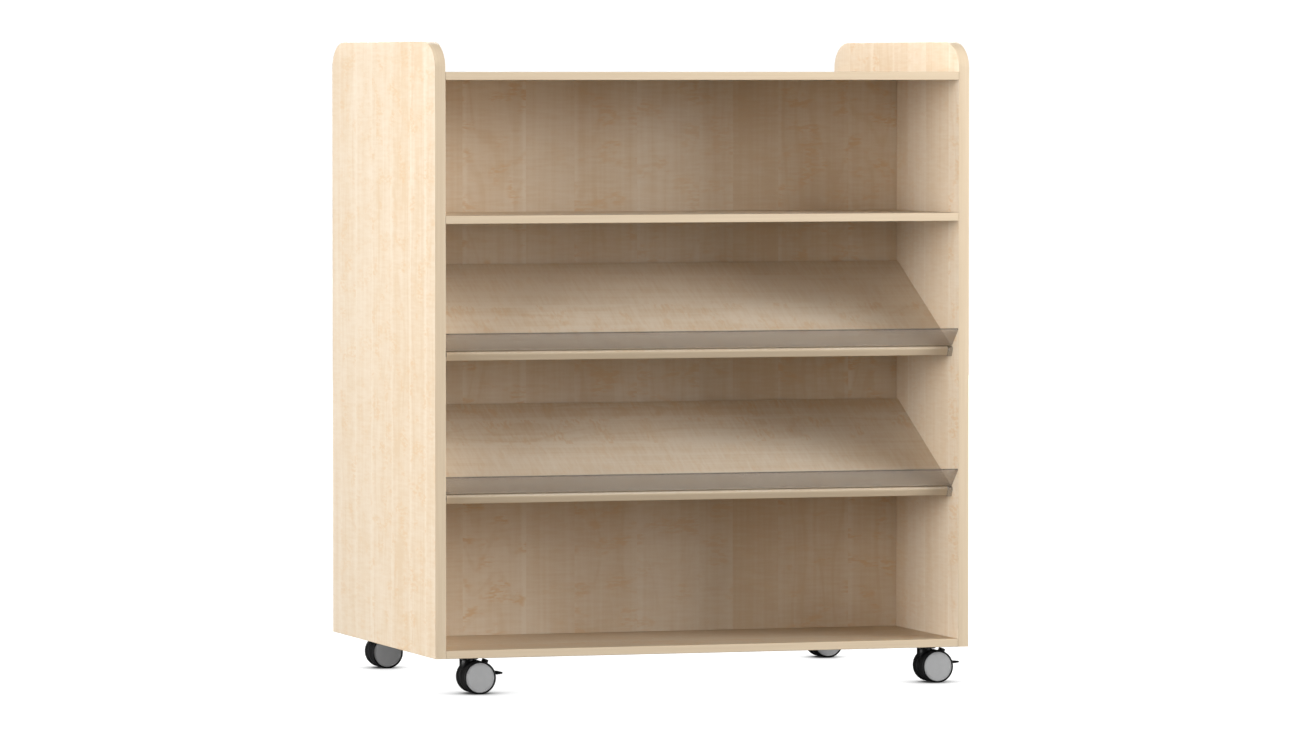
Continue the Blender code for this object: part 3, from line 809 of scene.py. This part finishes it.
def wheel_profile(width):
    """Closed profile of a wheel: bored hub, web, rim and a tread with round shoulders."""
    rim = WHEEL_R - RIM_T
    web_out = width - DISC_RECESS
    web_in = web_out - WEB_T
    shoulder = WHEEL_R - TREAD_ROUND
    points = [(WHEEL_BORE_R, 0.0), (WHEEL_HUB_R, 0.0), (WHEEL_HUB_R, web_in), (rim, web_in)]
    points += rounding((rim + LIP_ROUND, LIP_ROUND), LIP_ROUND, pi, 1.5 * pi)
    points += rounding((shoulder, TREAD_ROUND), TREAD_ROUND, -pi / 2, 0.0)
    points += rounding((shoulder, width - TREAD_ROUND), TREAD_ROUND, 0.0, pi / 2)
    points += rounding((rim + LIP_ROUND, width - LIP_ROUND), LIP_ROUND, pi / 2, pi)
    return points + [(rim, web_out), (WHEEL_BORE_R, web_out)]


low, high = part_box("outer_wheel_front_left")
wheel_width = high.y - low.y
print("wheels are", round(2 * WHEEL_R, 4), "m across and", round(wheel_width, 4), "m wide")

# %% Disc profile
DISC_FIT = 0.0003
DISC_T = 0.004
DISC_SKIRT = 0.004
DISC_DOME = 0.0008
DISC_ROUND = 0.0012
GROOVE_R = 0.0258
GROOVE_W = 0.0007
GROOVE_DEPTH = 0.0004
DOME_STEPS = 8


def disc_profile(width):
    """Open profile of a hub disc, from the axle line behind it to the axle line in front."""
    edge = WHEEL_R - RIM_T - DISC_FIT
    rest = width - DISC_DOME
    foot = width - DISC_RECESS + DISC_FIT
    inside = edge - DISC_SKIRT

    def dome(radius):
        return rest + DISC_DOME * (1 - (radius / edge) ** 2)

    back = rest - DISC_T
    points = [(0.0, back), (inside, back), (inside, foot), (edge, foot)]
    points += rounding((edge - DISC_ROUND, rest - DISC_ROUND), DISC_ROUND, 0.0, pi / 2)
    for radius, sunk in ((GROOVE_R + GROOVE_W, 0.0), (GROOVE_R + GROOVE_W / 2, GROOVE_DEPTH),
                         (GROOVE_R - GROOVE_W / 2, GROOVE_DEPTH), (GROOVE_R - GROOVE_W, 0.0)):
        points.append((radius, dome(radius) - sunk))
    inner = GROOVE_R - 2 * GROOVE_W
    points += [(inner * (1 - step / DOME_STEPS), dome(inner * (1 - step / DOME_STEPS)))
               for step in range(DOME_STEPS + 1)]
    return points


print("a disc's profile has", len(disc_profile(wheel_width)), "points")

# %% Turn the wheels
WHEEL_SIDES = 96


def profile_guide(name, points, closed):
    """A line mesh to sweep; X is measured from the core circle and Y against the axle."""
    guide = bpy.data.meshes.new(name)
    count = len(points)
    edges = [(i, (i + 1) % count) for i in range(count if closed else count - 1)]
    guide.from_pydata([(radius - CORE_R, -along, 0.0) for radius, along in points], edges, [])
    thing = bpy.data.objects.new(name, guide)
    bpy.context.scene.collection.objects.link(thing)
    return thing


wheel_guide = profile_guide("wheel_guide", wheel_profile(wheel_width), True)
disc_guide = profile_guide("disc_guide", disc_profile(wheel_width), False)
turnings = {
    "wheel": (wheel_guide, black_tread, "black_tread"),
    "hub_disc": (disc_guide, grey_disc, "grey_disc"),
}
for corner in CORNERS:
    swivel = joint_place[f"swivel_{corner}"]
    for place in ("outer", "inner"):
        low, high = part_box(f"{place}_wheel_{corner}")
        axle = joint_place[f"{place}_roll_{corner}"]
        hand = 1 if low.y > swivel.y else -1
        spot = (axle.x, low.y if hand > 0 else high.y, axle.z)
        for kind, (guide, finish, slot) in turnings.items():
            node = f"{place}_{kind}_{corner}"
            name = f"turned_{node}"
            mesh = grow(name, turned_piece, Profile=guide, Sides=WHEEL_SIDES, Place=spot,
                        Turn=(-hand * pi / 2, 0.0, 0.0), Finish=finish)
            add_piece(name, mesh, f"{place}_wheel_{corner}", [node])
for guide in (wheel_guide, disc_guide):
    bpy.data.objects.remove(guide, do_unlink=True)
print("the last turned piece has", len(mesh.polygons), "faces")

# %% [markdown]
# Softened mouldings
#
# A moulding has no knife edges. The housings and pedals keep the frame's shape: a copy of each mesh
# is merged, its flat triangles are dissolved, and a narrow bevel rounds every edge that is sharp.

# %% Soften
MOULD_ROUND = 0.0005
MOULD_STEPS = 2
FLAT_ENOUGH = radians(0.6)
MERGE_WITHIN = 0.00001


def softened(node, name, material):
    """A copy of a frame node whose sharp edges are rounded."""
    bm = bmesh.new()
    bm.from_mesh(nodes[node].data)
    bmesh.ops.remove_doubles(bm, verts=bm.verts, dist=MERGE_WITHIN)
    bmesh.ops.dissolve_limit(bm, angle_limit=FLAT_ENOUGH, verts=bm.verts, edges=bm.edges)
    sharp = [edge for edge in bm.edges if edge.is_manifold and edge.calc_face_angle() > CREASE]
    bmesh.ops.bevel(bm, geom=sharp, offset=MOULD_ROUND, segments=MOULD_STEPS, profile=0.5,
                    affect="EDGES", clamp_overlap=True)
    return mesh_from(name, bm, material)


for corner in CORNERS:
    mesh = softened(f"caster_housing_{corner}", f"moulded_housing_{corner}", black_nylon)
    add_piece(mesh.name, mesh, f"swivel_{corner}", [f"caster_housing_{corner}"])
for corner in BRAKED:
    mesh = softened(f"brake_pedal_{corner}", f"moulded_pedal_{corner}", black_nylon)
    add_piece(mesh.name, mesh, f"brake_pedal_{corner}", [f"brake_pedal_{corner}"])
print("softened", len(CORNERS), "housings and", len(BRAKED), "pedals")

# %% [markdown]
# Screws and lip clips
#
# Sixteen screws hold the caster plates, and a small bent clip closes each end of a slanted shelf's
# front edge. One Geometry Nodes tree places both: it sets a model on every point of a guide, turns
# it as the point's `turn` says, and then by a small chance angle, since screws never stop alike.

# %% Placing tree


def placing_tree():
    """The tree that sets a model on every point of a guide."""
    tree = bpy.data.node_groups.new("placed_hardware", "GeometryNodeTree")
    for label, kind in (("Model", "NodeSocketObject"), ("Spots", "NodeSocketObject"),
                        ("Loose Turn", "NodeSocketFloat"), ("Seed", "NodeSocketInt"),
                        ("Finish", "NodeSocketMaterial")):
        tree.interface.new_socket(label, in_out="INPUT", socket_type=kind)
    tree.interface.new_socket("Pieces", in_out="OUTPUT", socket_type="NodeSocketGeometry")
    sheet = Sheet(tree)
    given = sheet.add("NodeGroupInput", output="Model")
    model = sheet.add("GeometryNodeObjectInfo", sockets={"Object": given}, output="Geometry")
    guide = given.other("Spots")
    spots = sheet.add("GeometryNodeObjectInfo", sockets={"Object": guide}, output="Geometry")
    turn = sheet.add("GeometryNodeInputNamedAttribute", {"data_type": "FLOAT_VECTOR"},
                     {"Name": "turn"})
    facing = sheet.add("FunctionNodeEulerToRotation", sockets={"Euler": turn})
    placed = sheet.add("GeometryNodeInstanceOnPoints",
                       sockets={"Points": spots, "Instance": model, "Rotation": facing})
    limit = given.other("Loose Turn")
    chance = sheet.add("FunctionNodeRandomValue", {"data_type": "FLOAT"},
                       {2: limit * -1, 3: limit, "Seed": given.other("Seed")}, 1)
    about = sheet.vector(0.0, 0.0, chance)
    loose = sheet.add("FunctionNodeEulerToRotation", sockets={"Euler": about})
    turned = sheet.add("GeometryNodeRotateInstances",
                       sockets={"Instances": placed, "Rotation": loose})
    real = sheet.add("GeometryNodeRealizeInstances", sockets={"Geometry": turned})
    painted = sheet.add("GeometryNodeSetMaterial",
                        sockets={"Geometry": real, "Material": given.other("Finish")})
    sheet.add("NodeGroupOutput", sockets={"Pieces": painted})
    return tree


placed_hardware = placing_tree()
print("placing tree has", len(placed_hardware.nodes), "nodes")

# %% Placing hardware


def spots_guide(name, spots):
    """A point mesh with a `turn` for each spot, given as (place, turn) pairs."""
    guide = bpy.data.meshes.new(name)
    guide.from_pydata([place for place, _ in spots], [], [])
    turns = guide.attributes.new("turn", "FLOAT_VECTOR", "POINT")
    for item, (_, turn) in zip(turns.data, spots):
        item.vector = turn
    thing = bpy.data.objects.new(name, guide)
    bpy.context.scene.collection.objects.link(thing)
    return thing


def place_hardware(name, model, spots, loose_turn, seed, finish):
    """Copies of a model on every spot, as one plain mesh that rides on the carcass."""
    guide = spots_guide(f"{name}_guide", spots)
    values = {"Model": model, "Spots": guide, "Loose Turn": loose_turn, "Seed": seed}
    mesh = grow(name, placed_hardware, **values, Finish=finish)
    for thing in (model, guide):
        bpy.data.objects.remove(thing, do_unlink=True)
    add_piece(name, mesh, "carcass")
    print(name, "has", len(spots), "copies and", len(mesh.polygons), "faces")


# %% Screw model
SCREW_R = 0.0037
SCREW_H = 0.0016
SCREW_SIDES = 20
HEAD_RINGS = ((1.0, 0.0), (1.0, 0.35), (0.90, 0.75), (0.72, 1.0))
RECESS_REACH = 0.0019
RECESS_HALF = 0.00035
RECESS_DEPTH = 0.0009


def model_from(name, bm):
    """A model to be placed, still at the origin."""
    model = bpy.data.objects.new(name, mesh_from(name, bm, zinc_steel))
    bpy.context.scene.collection.objects.link(model)
    return model


def screw_model():
    """A pan head as seen on the plate: a low dome with a cross recess, standing on Z = 0.

    `HEAD_RINGS` gives the dome's outline in shares of its radius and height.
    """
    bm = bmesh.new()
    rings = []
    for radius, height in HEAD_RINGS:
        ring = [bm.verts.new((SCREW_R * radius * cos(2 * pi * i / SCREW_SIDES),
                              SCREW_R * radius * sin(2 * pi * i / SCREW_SIDES), SCREW_H * height))
                for i in range(SCREW_SIDES)]
        rings.append(ring)
    for lower, upper in zip(rings, rings[1:]):
        for i in range(SCREW_SIDES):
            j = (i + 1) % SCREW_SIDES
            bm.faces.new((lower[i], lower[j], upper[j], upper[i]))
    bm.faces.new(rings[0][::-1])

    a, b = RECESS_HALF, RECESS_REACH
    quarter = [(b, -a), (b, a), (a, a)]
    outline = []
    for _ in range(4):
        outline += quarter
        quarter = [(-y, x) for x, y in quarter]
    cross = [bm.verts.new((x, y, SCREW_H)) for x, y in outline]
    loops = [bm.edges.new((ring[i], ring[(i + 1) % len(ring)])) if ring is cross
             else bm.edges.get((ring[i], ring[(i + 1) % len(ring)]))
             for ring in (rings[-1], cross) for i in range(len(ring))]
    bmesh.ops.bridge_loops(bm, edges=loops)
    floor = [bm.verts.new((x, y, SCREW_H - RECESS_DEPTH)) for x, y in outline]
    for i in range(len(cross)):
        j = (i + 1) % len(cross)
        bm.faces.new((cross[i], cross[j], floor[j], floor[i]))
    bm.faces.new(floor)
    bmesh.ops.recalc_face_normals(bm, faces=bm.faces)
    return model_from("screw_model", bm)


# %% Plate screws
SCREW_SPACING = 0.028
SCREW_SEED = 5
FACE_DOWN = (pi, 0.0, 0.0)

screw_spots = []
for corner in CORNERS:
    swivel = joint_place[f"swivel_{corner}"]
    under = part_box(f"caster_plate_{corner}")[0].z
    for x in (-0.5, 0.5):
        for y in (-0.5, 0.5):
            spot = (swivel.x + x * SCREW_SPACING, swivel.y + y * SCREW_SPACING, under)
            screw_spots.append((spot, FACE_DOWN))
place_hardware("plate_screws", screw_model(), screw_spots, pi / 2, SCREW_SEED, zinc_steel)

# %% Clip model
CLIP_W = 0.010
CLIP_T = 0.0012
CLIP_FIT = 0.0002
CLIP_LEDGE = 0.0064
CLIP_FOOT = 0.0070
SHELF_NOSE = 0.003
SHELF_T = 0.016
NOSE_STEPS = 6


def clip_line(out):
    """The clip's line, `out` from the board, with Y uphill on the shelf and Z off its top."""
    line = [(CLIP_LEDGE, out)]
    for step in range(NOSE_STEPS + 1):
        angle = pi / 2 + pi / 2 * step / NOSE_STEPS
        radius = SHELF_NOSE + out
        line.append((SHELF_NOSE + radius * cos(angle), radius * sin(angle) - SHELF_NOSE))
    return line + [(-out, -SHELF_T - out), (CLIP_FOOT, -SHELF_T - out)]


def clip_model():
    """A strip bent round the shelf's front edge, from the ledge to the underside."""
    section = clip_line(CLIP_FIT + CLIP_T) + clip_line(CLIP_FIT)[::-1]
    bm = extruded(section, -CLIP_W / 2, CLIP_W)
    bmesh.ops.recalc_face_normals(bm, faces=bm.faces)
    return model_from("clip_model", bm)


# %% Lip clips
CLIP_TONES = ((0.400, 0.393, 0.386), (0.500, 0.493, 0.486))
CLIP_SEED = 7


def shelf_corner(node, uphill):
    """The sharp corner that the shelf's front edge would have without its rounding."""
    off, level = shelf_level(node, uphill)
    reach = min(uphill.dot(nodes[node].matrix_world @ v.co) for v in nodes[node].data.vertices)
    return uphill * reach + off * level


clip_spots = []
for side, uphill, turn in (("front", UPHILL_FRONT, (SHELF_SLOPE, 0.0, 0.0)),
                           ("rear", UPHILL_REAR, (SHELF_SLOPE, 0.0, pi))):
    for tier in ("upper", "lower"):
        node = f"{side}_{tier}_slanted_shelf"
        corner = shelf_corner(node, uphill)
        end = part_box(node)[1].x - CLIP_W / 2
        for x in (-end, end):
            clip_spots.append(((x, corner.y, corner.z), turn))
clip_steel = moulded("clip_steel", CLIP_TONES, roughness=0.26, grain=1400.0, depth=0.00001,
                     Metallic=1.0)
place_hardware("lip_clips", clip_model(), clip_spots, 0.0, CLIP_SEED, clip_steel)
